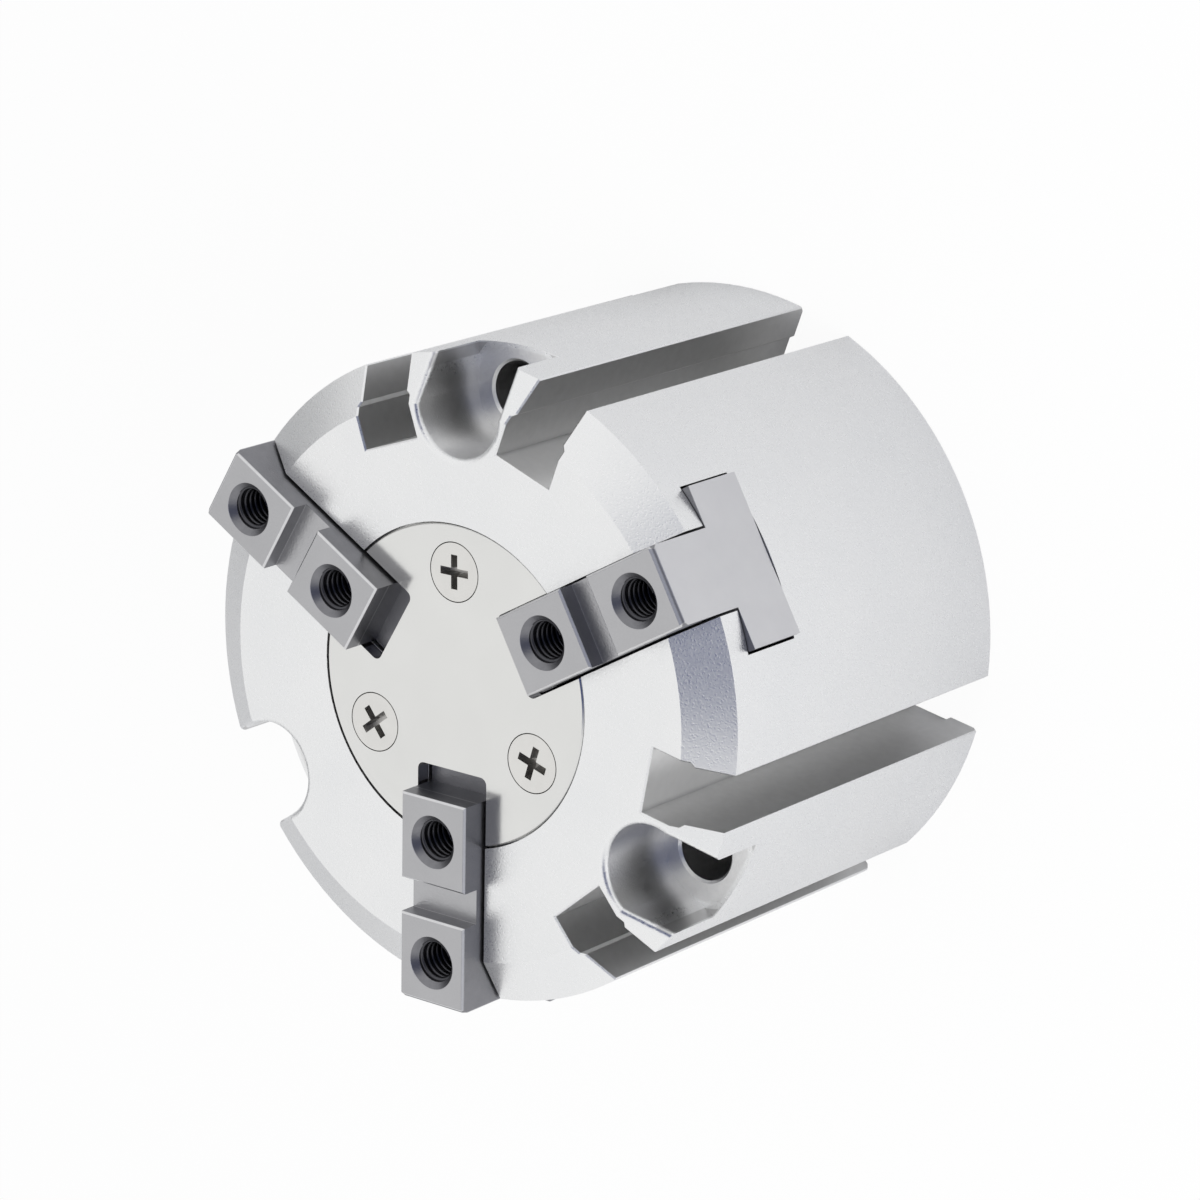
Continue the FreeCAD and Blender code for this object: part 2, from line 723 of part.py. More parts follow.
def build_jaw(label, angle):
    """Jaw of T section with a slanted hook at its inner end that rides in the cam."""
    body = new_body(label, angle=angle)
    outline = t_outline(neck_half, flange_half, jaw_top, flange_top, jaw_bottom)
    sketch = polygon(new_sketch(body, f"{label}_section", "YZ_Plane"), outline)
    pad(body, f"{label}_bar", sketch, jaw_outer_radius)

    below = jaw_bottom - PAST
    above = jaw_top + PAST
    root_level = cam_level(d.jaw_root_radius - d.cam_face_gap)
    sketch = polygon(new_sketch(body, f"{label}_inner_end_outline", "XZ_Plane"), [
        (-PAST, below),
        (cam_face(below) + d.cam_face_gap, below),
        (d.jaw_root_radius, root_level),
        (d.jaw_root_radius, jaw_step),
        (jaw_inner_radius, jaw_step),
        (jaw_inner_radius, above),
        (-PAST, above),
    ])
    pocket(body, f"{label}_inner_end", sketch, d.jaw_flange_width + PAST * 2, symmetric=True)

    hook_bottom = jaw_bottom + d.hook_bottom_gap
    head_outer = d.hook_lip + d.hook_gap
    head_inner = d.hook_lip + d.hook_slot_depth - d.hook_gap
    head_middle = (head_outer + head_inner) / 2
    end = d.hook_end_radius
    sketch = polygon(new_sketch(body, f"{label}_hook_neck_outline", "XZ_Plane"), [
        (cam_face(hook_bottom) - head_middle, hook_bottom),
        (cam_face(hook_bottom) + PAST, hook_bottom),
        (end + head_outer + PAST, cam_level(end + head_outer)),
        (end, cam_level(end + head_outer)),
        (end, cam_level(end + head_middle)),
    ])
    pad(body, f"{label}_hook_neck", sketch, d.hook_neck_width, symmetric=True)
    sketch = polygon(new_sketch(body, f"{label}_hook_head_outline", "XZ_Plane"), [
        (cam_face(hook_bottom) - head_inner, hook_bottom),
        (cam_face(hook_bottom) - head_outer, hook_bottom),
        (end, cam_level(end + head_outer)),
        (end, cam_level(end + head_inner)),
    ])
    pad(body, f"{label}_hook_head", sketch, d.hook_head_width, symmetric=True)

    groove_inner = key_groove_radius - d.key_groove_width / 2
    groove_outer = key_groove_radius + d.key_groove_width / 2
    groove_floor = jaw_top - d.key_groove_depth
    sketch = polygon(new_sketch(body, f"{label}_key_groove_outline", "XZ_Plane"), [
        (groove_inner, groove_floor),
        (groove_outer, groove_floor),
        (groove_outer, above),
        (groove_inner, above),
    ])
    pocket(body, f"{label}_key_groove", sketch, d.jaw_width + PAST * 2, symmetric=True)

    def on_front_edge(edge, middle):
        return near(middle.z, jaw_top) and not near(middle.x, jaw_outer_radius)

    def on_outer_edge(edge, middle):
        return near(middle.x, jaw_outer_radius) and middle.z > jaw_top.value - 1

    bevel(body, f"{label}_front_edges", on_front_edge, d.jaw_edge_bevel)
    bevel(body, f"{label}_outer_edge", on_outer_edge, d.jaw_end_bevel)

    sketch = new_sketch(body, f"{label}_thread_outline", "XY_Plane", lift=jaw_top)
    for side in (-1, 1):
        circle(sketch, key_groove_radius + side * d.jaw_hole_spacing / 2, 0, d.jaw_thread_radius)
    doc.recompute()
    volume = body.Tip.Shape.Volume
    hole = body.newObject("PartDesign::Hole", f"{label}_threads")
    hole.Profile = sketch
    hole.DepthType = "Dimension"
    hole.DrillPoint = "Flat"
    hole.HoleCutType = "Countersink"
    hole.HoleCutCustomValues = True
    hole.HoleCutCountersinkAngle = 90
    bind_property(hole, "Diameter", d.jaw_thread_radius * 2)
    bind_property(hole, "Depth", d.jaw_thread_depth)
    bind_property(hole, "HoleCutDiameter", d.jaw_sink_radius * 2)
    doc.recompute()
    if hole.Shape.Volume > volume - 1e-3:
        raise RuntimeError(f"{label} has no holes")
    return body


# Cam, piston and what moves with them


def build_wedge_cam():
    """Cam head with three slanted faces and T-slots, on the rod that runs through the partition."""
    body = new_body("wedge_cam")
    rod_end = piston_top - d.spigot_length
    thread_end = rod_end + d.bolt_reach
    thread = d.bolt_radius + d.screw_gap
    revolve(body, "cam_blank", [
        (0, cam_top),
        (d.cam_crown_radius, cam_top),
        (d.cam_crown_radius, cam_shoulder),
        (d.cam_head_radius, cam_shoulder),
        (d.cam_head_radius, cam_bottom),
        (d.rod_radius, cam_bottom),
        (d.rod_radius, piston_top),
        (d.spigot_radius, piston_top),
        (d.spigot_radius, rod_end),
        (thread, rod_end),
        (thread, thread_end),
        (0, thread_end),
    ])

    # Between two arms the head keeps only its core, up to the flanks of the arms.
    clear = d.cam_head_radius + PAST
    half_arm = d.cam_arm_width / 2

    def flank(x):
        return (x - half_arm * sine(60)) * sine(60) / cosine(60) - half_arm * cosine(60)

    core = d.cam_crown_radius
    sketch = polygon(new_sketch(body, "arm_gap_outline", "XY_Plane", lift=cam_shoulder, turn=60), [
        (core, -flank(core)),
        (clear, -flank(clear)),
        (clear, flank(clear)),
        (core, flank(core)),
    ])
    gap = pocket(body, "arm_gap", sketch, cam_shoulder - cam_bottom + PAST)
    around(body, "arm_gaps", [gap])

    above = cam_top + PAST
    below = cam_bottom - PAST
    sketch = polygon(new_sketch(body, "cam_face_outline", "XZ_Plane"), [
        (cam_face(above), above),
        (clear, above),
        (clear, cam_level(clear)),
    ])
    face = pocket(body, "cam_face", sketch, clear * 2, symmetric=True)
    lip = d.hook_lip
    chamber = d.hook_lip + d.hook_slot_depth
    sketch = polygon(new_sketch(body, "hook_throat_outline", "XZ_Plane"), [
        (cam_face(above) - (lip + chamber) / 2, above),
        (cam_face(above) + PAST, above),
        (cam_face(below) + PAST, below),
        (cam_face(below) - (lip + chamber) / 2, below),
    ])
    throat = pocket(body, "hook_throat", sketch, d.hook_neck_width + d.hook_side_gap * 2, symmetric=True)
    sketch = polygon(new_sketch(body, "hook_chamber_outline", "XZ_Plane"), [
        (cam_face(above) - chamber, above),
        (cam_face(above) - lip, above),
        (cam_face(below) - lip, below),
        (cam_face(below) - chamber, below),
    ])
    room = pocket(body, "hook_chamber", sketch, d.hook_head_width + d.hook_side_gap * 2, symmetric=True)
    around(body, "hook_slots", [face, throat, room])
    return body


# Rings stacked on the piston, from its rear face up.
holder_top = piston_bottom + d.magnet_holder_height
magnet_top = holder_top + d.magnet_height
seal_groove_bottom = magnet_top + d.piston_land
seal_groove_top = seal_groove_bottom + d.seal_height + d.groove_play
wear_groove_bottom = seal_groove_top + d.piston_land
wear_groove_top = wear_groove_bottom + d.wear_ring_height + d.groove_play
magnet_outer_radius = piston_radius - d.groove_play
magnet_inner_radius = magnet_outer_radius - d.magnet_width
boss_radius = magnet_inner_radius - d.groove_play
counterbore_top = piston_bottom + d.bolt_head_inset + d.bolt_head_height + d.bolt_gasket_height


def build_piston():
    body = new_body("piston")
    seal_floor = sliding_radius - d.seal_width - d.ring_fit
    wear_floor = sliding_radius - d.wear_ring_width - d.ring_fit
    bolt_bore = d.bolt_radius + d.ring_fit * 2
    recess = d.spigot_radius + d.ring_fit
    recess_floor = piston_top - d.spigot_length - d.ring_fit
    counterbore = d.bolt_head_radius + d.bolt_head_gap
    revolve(body, "piston_turned", [
        (recess, piston_top),
        (piston_radius, piston_top),
        (piston_radius, wear_groove_top),
        (wear_floor, wear_groove_top),
        (wear_floor, wear_groove_bottom),
        (piston_radius, wear_groove_bottom),
        (piston_radius, seal_groove_top),
        (seal_floor, seal_groove_top),
        (seal_floor, seal_groove_bottom),
        (piston_radius, seal_groove_bottom),
        (piston_radius, magnet_top),
        (boss_radius, magnet_top),
        (boss_radius, piston_bottom),
        (counterbore, piston_bottom),
        (counterbore, counterbore_top),
        (bolt_bore, counterbore_top),
        (bolt_bore, recess_floor),
        (recess, recess_floor),
    ])
    return body


def ring(label, inner, outer, bottom, top):
    """A plain ring of rectangular section."""
    body = new_body(label)
    revolve(body, f"{label}_turned", [(inner, bottom), (outer, bottom), (outer, top), (inner, top)])
    return body


def build_piston_bolt():
    """Low-head bolt with a hexagon socket that clamps the piston on the rod."""
    body = new_body("piston_bolt")
    head_bottom = piston_bottom + d.bolt_head_inset
    head_top = head_bottom + d.bolt_head_height
    tip = piston_top - d.spigot_length + d.bolt_reach - PAST
    edge = d.bolt_radius / 5
    revolve(body, "piston_bolt_turned", [
        (0, head_bottom),
        (d.bolt_head_radius, head_bottom),
        (d.bolt_head_radius, head_top),
        (d.bolt_radius, head_top),
        (d.bolt_radius, tip - edge),
        (d.bolt_radius - edge, tip),
        (0, tip),
    ])
    radius = d.bolt_socket_span / 2 / cosine(30)
    corners = [(radius * cosine(60 * step + 30), radius * sine(60 * step + 30)) for step in range(6)]
    # The corners at 90 and 270 degrees lie on the axis of the sketch.
    corners[1] = (0, radius)
    corners[4] = (0, -radius)
    sketch = polygon(new_sketch(body, "socket_outline", "XY_Plane", lift=head_bottom), corners)
    pocket(body, "socket", sketch, d.bolt_socket_depth, reverse=True)
    return body


def build_bumper(label, bottom, top):
    """Elastic ring with softened edges that stops the piston."""
    body = new_body(label)
    inner = d.bumper_inner_radius + d.ring_fit
    outer = d.bumper_outer_radius - d.ring_fit
    edge = d.bumper_rise / 4
    revolve(body, f"{label}_turned", [
        (inner, bottom + edge),
        (inner + edge, bottom),
        (outer - edge, bottom),
        (outer, bottom + edge),
        (outer, top - edge),
        (outer - edge, top),
        (inner + edge, top),
        (inner, top - edge),
    ])
    return body


def build_rod_seal():
    """Lip seal round the rod, its groove open towards the cylinder."""
    body = new_body("rod_seal")
    inner = d.rod_radius + d.rod_gap / 2
    outer = rod_bore + d.rod_seal_width - d.ring_fit
    bottom = cylinder_top + d.rod_seal_cover
    top = bottom + d.rod_seal_height
    wall = d.rod_seal_width / 3
    revolve(body, "rod_seal_turned", [
        (inner, bottom),
        (inner + wall, bottom),
        ((inner + outer) / 2, bottom + wall),
        (outer - wall, bottom),
        (outer, bottom),
        (outer, top),
        (inner, top),
    ])
    return body


def build_end_cap():
    """Disc that closes the cylinder, with a groove for its sealing ring and a seat for a bumper."""
    body = new_body("end_cap")
    outer = cap_bore_radius - d.cap_gap
    groove_floor = outer - d.o_ring_groove_depth
    middle = (cap_top + retaining_ring_top) / 2
    half = d.o_ring_groove_width / 2
    revolve(body, "end_cap_turned", [
        (0, retaining_ring_top),
        (outer - d.cap_bevel, retaining_ring_top),
        (outer, retaining_ring_top + d.cap_bevel),
        (outer, middle - half),
        (groove_floor, middle - half),
        (groove_floor, middle + half),
        (outer, middle + half),
        (outer, cap_top),
        (d.bumper_outer_radius, cap_top),
        (d.bumper_outer_radius, cap_top - d.bumper_seat),
        (d.bumper_inner_radius, cap_top - d.bumper_seat),
        (d.bumper_inner_radius, cap_top),
        (0, cap_top),
    ])
    return body


def build_cap_o_ring():
    body = new_body("cap_o_ring")
    sketch = circle(new_sketch(body, "cord_section", "XZ_Plane"),
                    cap_bore_radius - d.cap_gap - d.o_ring_cord_radius,
                    (cap_top + retaining_ring_top) / 2, d.o_ring_cord_radius)
    feature = body.newObject("PartDesign::Revolution", "cord_ring")
    feature.Profile = sketch
    feature.ReferenceAxis = (sketch, ["V_Axis"])
    feature.Angle = 360
    doc.recompute()
    return body


def build_retaining_ring():
    """Internal snap ring, thinner towards its opening, with two eyelets for pliers."""
    body = new_body("retaining_ring")
    outer = retaining_groove - d.ring_fit
    inner = outer - d.retaining_ring_width
    sketch = new_sketch(body, "ring_outline", "XY_Plane", lift=d.locating_depth)
    circle(sketch, 0, 0, outer)
    circle(sketch, d.retaining_ring_inner_offset, 0, inner)
    pad(body, "ring", sketch, d.retaining_ring_thickness)
    reach = outer + PAST
    side = reach * sine(d.retaining_ring_half_opening) / cosine(d.retaining_ring_half_opening)
    sketch = polygon(new_sketch(body, "opening_outline", "XY_Plane", lift=retaining_ring_top),
                     [(0, 0), (reach, -side), (reach, side)])
    pocket(body, "opening", sketch, d.retaining_ring_thickness)
    centre_x = (cap_bore_radius - d.lug_inset) * cosine(d.lug_angle)
    centre_y = (cap_bore_radius - d.lug_inset) * sine(d.lug_angle)
    sketch = new_sketch(body, "lug_outline", "XY_Plane", lift=d.locating_depth)
    circle(sketch, centre_x, centre_y, d.lug_radius)
    circle(sketch, centre_x, -centre_y, d.lug_radius)
    pad(body, "lugs", sketch, d.retaining_ring_thickness)
    sketch = new_sketch(body, "lug_hole_outline", "XY_Plane", lift=retaining_ring_top)
    circle(sketch, centre_x, centre_y, d.lug_hole_radius)
    circle(sketch, centre_x, -centre_y, d.lug_hole_radius)
    pocket(body, "lug_holes", sketch, d.retaining_ring_thickness)
    return body


pieces = [build_housing(), build_cover_plate()]
for screw_label, screw_angle in SCREW_ANGLES.items():
    pieces.append(build_cover_screw(screw_label, screw_angle, RECESS_TURNS[screw_label]))
for jaw_label, jaw_angle in JAW_ANGLES.items():
    pieces.append(build_jaw(jaw_label, jaw_angle))
pieces.append(build_wedge_cam())
pieces.append(build_piston())
pieces.append(build_piston_bolt())
pieces.append(ring("bolt_gasket", d.bolt_radius + d.ring_fit, d.bolt_head_radius - d.ring_fit,
                   counterbore_top - d.bolt_gasket_height, counterbore_top))
pieces.append(ring("piston_seal", sliding_radius - d.seal_width, sliding_radius,
                   seal_groove_bottom + d.groove_play / 2, seal_groove_top - d.groove_play / 2))
pieces.append(ring("wear_ring", sliding_radius - d.wear_ring_width, sliding_radius,
                   wear_groove_bottom + d.groove_play / 2, wear_groove_top - d.groove_play / 2))
pieces.append(ring("magnet_ring", magnet_inner_radius, magnet_outer_radius, holder_top, magnet_top))
pieces.append(ring("magnet_holder", boss_radius + d.ring_fit, magnet_outer_radius,
                   piston_bottom, holder_top))
pieces.append(build_bumper("front_bumper", cylinder_top - d.bumper_rise, cylinder_top + d.bumper_seat))
pieces.append(build_bumper("rear_bumper", cap_top - d.bumper_seat, cap_top + d.bumper_rise))
pieces.append(build_rod_seal())
pieces.append(build_end_cap())
pieces.append(build_cap_o_ring())
pieces.append(build_retaining_ring())

doc.recompute()
faults = [item.Label for item in doc.Objects if "Invalid" in item.State or "Error" in item.State]
for piece in pieces:
    if piece.Shape.isNull() or not piece.Shape.isValid() or len(piece.Shape.Solids) != 1:
        faults.append(piece.Label)
if faults:
    raise RuntimeError(f"these did not build: {faults}")

os.makedirs("parts", exist_ok=True)
for piece in pieces:
    piece.Shape.exportStep(f"parts/{piece.Label}.step")
    print(f"{piece.Label}: {piece.Shape.Volume:.1f} mm3")
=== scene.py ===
import json
import math

import bmesh
import bpy
import numpy as np
from mathutils import Matrix, Vector


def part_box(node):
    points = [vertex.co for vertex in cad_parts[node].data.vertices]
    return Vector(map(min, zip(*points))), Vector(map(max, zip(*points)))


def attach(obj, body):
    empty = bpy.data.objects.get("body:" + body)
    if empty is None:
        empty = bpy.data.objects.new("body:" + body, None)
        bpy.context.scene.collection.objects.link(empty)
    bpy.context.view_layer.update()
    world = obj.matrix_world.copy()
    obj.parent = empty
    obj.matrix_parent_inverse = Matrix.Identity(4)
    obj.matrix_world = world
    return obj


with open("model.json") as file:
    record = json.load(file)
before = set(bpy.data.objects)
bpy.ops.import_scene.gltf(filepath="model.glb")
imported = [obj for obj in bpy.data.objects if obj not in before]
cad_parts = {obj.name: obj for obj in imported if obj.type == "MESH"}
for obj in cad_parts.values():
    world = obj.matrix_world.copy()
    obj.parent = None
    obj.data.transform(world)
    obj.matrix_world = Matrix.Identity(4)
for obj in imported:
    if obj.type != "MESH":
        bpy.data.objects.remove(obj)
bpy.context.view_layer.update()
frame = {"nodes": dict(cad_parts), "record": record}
record = frame["record"]
print("frame loaded:", len(frame["nodes"]), "nodes")


def linearColour(hexValue):
    # an sRGB hex colour turned to linear light by the sRGB curve
    channels = []
    for start in (1, 3, 5):
        value = int(hexValue[start:start + 2], 16) / 255
        channels.append(value / 12.92 if value <= 0.04045 else ((value + 0.055) / 1.055) ** 2.4)
    return (*channels, 1.0)


def inputOf(node, name):
    # an input by its name, or by its number where a node has several of one name: in a Mix, 6 and 7 are the
    # two colours, and 2 and 3 the two plain numbers
    return node.inputs[int(name) if name.isdigit() else name]


def addNode(tree, kind, settings=None, links=None):
    # one node with its settings, those marked in: being inputs; links gives an input the output that feeds it
    node = tree.nodes.new(kind)
    for name, value in (settings or {}).items():
        if name.startswith("in:"):
            inputOf(node, name.removeprefix("in:")).default_value = value
        else:
            setattr(node, name, value)
    for name, source in (links or {}).items():
        tree.links.new(source, inputOf(node, name))
    return node


def newMaterial(name):
    material = bpy.data.materials.new(name)
    material.use_nodes = True
    tree = material.node_tree
    tree.nodes.clear()
    shader = addNode(tree, "ShaderNodeBsdfPrincipled")
    addNode(tree, "ShaderNodeOutputMaterial", links={"Surface": shader.outputs[0]})
    return material, tree, shader


def objectCoords(tree):
    return addNode(tree, "ShaderNodeTexCoord").outputs["Object"]


def perMetre(millimetres):
    # how many times a pattern of this size fits into a metre
    return 1000 / millimetres


def newPiece(name, verts, faces, body, material):
    mesh = bpy.data.meshes.new(name)
    mesh.from_pydata(verts.tolist(), [], faces.tolist())
    mesh.validate()
    mesh.polygons.foreach_set("use_smooth", np.full(len(mesh.polygons), True))
    piece = bpy.data.objects.new(name, mesh)
    bpy.context.scene.collection.objects.link(piece)
    mesh.materials.append(material)
    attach(piece, body)
    return piece


def tubeFaces(rows, columns):
    # quads of a tube whose points are stored ring by ring
    row, column = np.meshgrid(np.arange(rows - 1), np.arange(columns), indexing="ij")
    following = (column + 1) % columns
    return np.stack([row * columns + column, row * columns + following,
                     (row + 1) * columns + following, (row + 1) * columns + column], axis=-1).reshape(-1, 4)


# the noise behind every finish
patternSpec = {
    "cloudDetail": 3.0, "cloudRoughness": 0.55, "grainDetail": 2.0, "grainRoughness": 0.5,
    "grainLow": 0.3, "grainHigh": 0.7,  # nearly all of the noise's values lie between these two
    "mottleDetail": 4.0,
}


def satinMetal(name, finish):
    # a metal whose colour drifts over a few millimetres, with fine grain in its gloss and its surface
    material, tree, shader = newMaterial(name)
    grainAt = objectCoords(tree)
    cloud = addNode(tree, "ShaderNodeTexNoise", {"in:Scale": perMetre(finish["cloudMm"]),
                    "in:Detail": patternSpec["cloudDetail"], "in:Roughness": patternSpec["cloudRoughness"]},
                    {"Vector": grainAt})
    grain = addNode(tree, "ShaderNodeTexNoise", {"in:Scale": perMetre(finish["grainMm"]),
                    "in:Detail": patternSpec["grainDetail"], "in:Roughness": patternSpec["grainRoughness"]},
                    {"Vector": grainAt})
    tone = addNode(tree, "ShaderNodeMix", {"data_type": "RGBA", "in:6": linearColour(finish["colour"]),
                   "in:7": linearColour(finish["tint"])}, {"Factor": cloud.outputs["Fac"]})
    gloss = addNode(tree, "ShaderNodeMapRange", {"in:From Min": patternSpec["grainLow"],
                    "in:From Max": patternSpec["grainHigh"],
                    "in:To Min": finish["roughness"] - finish["spread"],
                    "in:To Max": finish["roughness"] + finish["spread"]}, {"Value": grain.outputs["Fac"]})
    bump = addNode(tree, "ShaderNodeBump", {"in:Strength": 1.0, "in:Distance": finish["bumpMm"] / 1000},
                   {"Height": grain.outputs["Fac"]})
    tree.links.new(tone.outputs[2], shader.inputs["Base Color"])
    tree.links.new(gloss.outputs[0], shader.inputs["Roughness"])
    tree.links.new(bump.outputs[0], shader.inputs["Normal"])
    shader.inputs["Metallic"].default_value = finish.get("metallic", 1.0)
    return material


def secondFinish(material, depth, finish):
    # another finish where depth, in metres, is more than the finish's skin; it is whole at twice the skin
    tree = material.node_tree
    shader = next(node for node in tree.nodes if node.type == "BSDF_PRINCIPLED")
    skin = finish["skinMm"] / 1000
    there = addNode(tree, "ShaderNodeMapRange", {"interpolation_type": "SMOOTHSTEP", "in:From Min": skin,
                    "in:From Max": skin * 2}, {"Value": depth})
    mottle = addNode(tree, "ShaderNodeTexNoise", {"in:Scale": perMetre(finish["mottleMm"]),
                     "in:Detail": patternSpec["mottleDetail"]}, {"Vector": objectCoords(tree)})
    tone = addNode(tree, "ShaderNodeMix", {"data_type": "RGBA", "in:6": linearColour(finish["colour"]),
                   "in:7": linearColour(finish["tint"])}, {"Factor": mottle.outputs["Fac"]})
    colour = addNode(tree, "ShaderNodeMix", {"data_type": "RGBA"}, {"Factor": there.outputs[0],
                     "6": shader.inputs["Base Color"].links[0].from_socket, "7": tone.outputs[2]})
    shine = addNode(tree, "ShaderNodeMapRange", {"in:To Min": finish["roughness"] - finish["spread"],
                    "in:To Max": finish["roughness"] + finish["spread"]}, {"Value": mottle.outputs["Fac"]})
    gloss = addNode(tree, "ShaderNodeMix", {"data_type": "FLOAT"}, {"Factor": there.outputs[0],
                    "2": shader.inputs["Roughness"].links[0].from_socket, "3": shine.outputs[0]})
    tree.links.new(colour.outputs[2], shader.inputs["Base Color"])
    tree.links.new(gloss.outputs[0], shader.inputs["Roughness"])
    # the first finish's grain fades out to the share that the second one keeps
    grain = addNode(tree, "ShaderNodeMapRange", {"in:To Min": 1.0, "in:To Max": finish["grainShare"]},
                    {"Value": there.outputs[0]})
    strength = shader.inputs["Normal"].links[0].from_node.inputs["Strength"]
    if strength.links:
        grain = addNode(tree, "ShaderNodeMath", {"operation": "MULTIPLY"},
                        {"0": grain.outputs[0], "1": strength.links[0].from_socket})
    tree.links.new(grain.outputs[0], strength)


def sumOf(tree, place, factors, constant):
    # a number that grows evenly through space: place times factors, plus a constant
    along = addNode(tree, "ShaderNodeVectorMath", {"operation": "DOT_PRODUCT", "in:1": factors}, {"0": place})
    total = addNode(tree, "ShaderNodeMath", {"operation": "ADD", "in:1": constant},
                    {"0": along.outputs["Value"]})
    return total.outputs[0]


def extremeOf(tree, operation, sockets):
    # the least or the greatest of several numbers
    chosen = sockets[0]
    for socket in sockets[1:]:
        chosen = addNode(tree, "ShaderNodeMath", {"operation": operation},
                         {"0": chosen, "1": socket}).outputs[0]
    return chosen


def flatPlace(tree, place):
    # a place moved down to the level of the rear face
    flat = addNode(tree, "ShaderNodeVectorMath", {"operation": "MULTIPLY", "in:1": (1, 1, 0)}, {"0": place})
    return flat.outputs[0]


def withinHoles(tree, flat, centres, reach):
    # how far a point lies inside the nearest of several round outlines, all of one radius; less than nothing
    # outside them; centres and reach in millimetres
    depths = []
    for x, y in centres:
        centre = (x / 1000, y / 1000, 0)
        away = addNode(tree, "ShaderNodeVectorMath", {"operation": "DISTANCE", "in:1": centre},
                       {"0": flat}).outputs["Value"]
        depths.append(addNode(tree, "ShaderNodeMath", {"operation": "SUBTRACT", "in:0": reach / 1000},
                              {"1": away}).outputs[0])
    return extremeOf(tree, "MAXIMUM", depths)


def onCircle(radius, turn):
    return radius * math.cos(math.radians(turn)), radius * math.sin(math.radians(turn))


housingSpec = {
    # the front bevel, the bolt circle's radius, how far a pocket reaches from its bolt, and the distance from
    # the axis within which the groove floors lie, in millimetres; the turns of the pockets in degrees
    "bevelWidth": 4.35, "bevelHeight": 2.6, "pocketCircle": 26.5, "pocketReach": 5.4, "floorReach": 23.55,
    "pockets": (60, 180, 300),
    "outside": {"colour": "#EEEEEE", "tint": "#E7E8E9", "roughness": 0.31, "spread": 0.05, "grainMm": 0.18,
                "bumpMm": 0.021, "cloudMm": 9.0},
    # cut: the groove walls, painted darker as painted shade; floor: the groove floors, painted paler as
    # painted light
    "cut": {"colour": "#D1D1D1", "tint": "#C4C4C4", "roughness": 0.36, "spread": 0.04, "mottleMm": 0.9,
            "grainShare": 0.15, "skinMm": 0.1},
    "floor": {"colour": "#F9F9F8", "tint": "#EFEFEE", "roughness": 0.34, "spread": 0.05, "mottleMm": 0.9,
              "grainShare": 0.15, "skinMm": 0.1},
    "bored": {"colour": "#E6E6E6", "tint": "#DADADA", "roughness": 0.33, "spread": 0.06, "mottleMm": 0.6,
              "grainShare": 1.0, "skinMm": 0.3},
}


def depthsOfCuts(tree, spec):
    # how far a point lies below the turned outside: the least of its depths under the round side, the front
    # face and the sloping bevel between them; given away from the bolt pockets, inside them, and on the
    # floors of the grooves, which lie nearer to the axis than any of the grooves' walls
    radius, _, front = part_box("body")[1]
    width, height = spec["bevelWidth"] / 1000, spec["bevelHeight"] / 1000
    slope = math.hypot(width, height)
    place = objectCoords(tree)
    flat = flatPlace(tree, place)
    reach = addNode(tree, "ShaderNodeVectorMath", {"operation": "LENGTH"}, {"0": flat}).outputs["Value"]
    upright = addNode(tree, "ShaderNodeSeparateXYZ", links={"0": place}).outputs["Z"]
    section = addNode(tree, "ShaderNodeCombineXYZ", links={"X": reach, "Z": upright}).outputs[0]
    underSide = sumOf(tree, section, (-1, 0, 0), radius)
    underFront = sumOf(tree, section, (0, 0, -1), front)
    underBevel = sumOf(tree, section, (-height / slope, 0, -width / slope),
                       (radius * height + (front - height) * width) / slope)
    skinDepth = extremeOf(tree, "MINIMUM", [underSide, underFront, underBevel])
    centres = [onCircle(spec["pocketCircle"], turn) for turn in spec["pockets"]]
    inside = withinHoles(tree, flat, centres, spec["pocketReach"])
    away = addNode(tree, "ShaderNodeMath", {"operation": "MULTIPLY", "in:1": -1.0}, {"0": inside}).outputs[0]
    nearAxis = sumOf(tree, section, (-1, 0, 0), spec["floorReach"] / 1000)
    depths = ([skinDepth, away], [skinDepth, inside], [skinDepth, away, nearAxis])
    return [extremeOf(tree, "MINIMUM", group) for group in depths]


# clear anodised aluminium, fine blasted: pale, even, slightly sparkling grey-white; the blasting is drawn
# twice as coarse as it is, so that it shows
blastedAluminium = satinMetal("blastedAnodisedAluminium", housingSpec["outside"])
milledShadeDepth, boredDepth, floorDepth = depthsOfCuts(blastedAluminium.node_tree, housingSpec)
# grooves and slots are milled, so their walls are duller than the outside; their walls are also painted
# darker, as painted shade inside the grooves, and their floors painted pale, as painted light on the floors
secondFinish(blastedAluminium, milledShadeDepth, housingSpec["cut"])
secondFinish(blastedAluminium, floorDepth, housingSpec["floor"])
# the bolt pockets are bored: a little shinier than the groove walls, so light and dark play in their hollows
secondFinish(blastedAluminium, boredDepth, housingSpec["bored"])

# ground stainless plate: smoother than the housing, so the jaws show in it as soft streaks
plateSpec = {"colour": "#E1E1DF", "tint": "#D9D9D7", "roughness": 0.17, "spread": 0.03, "grainMm": 0.2,
             "bumpMm": 0.001, "cloudMm": 7.0}
groundPlate = satinMetal("groundStainlessPlate", plateSpec)

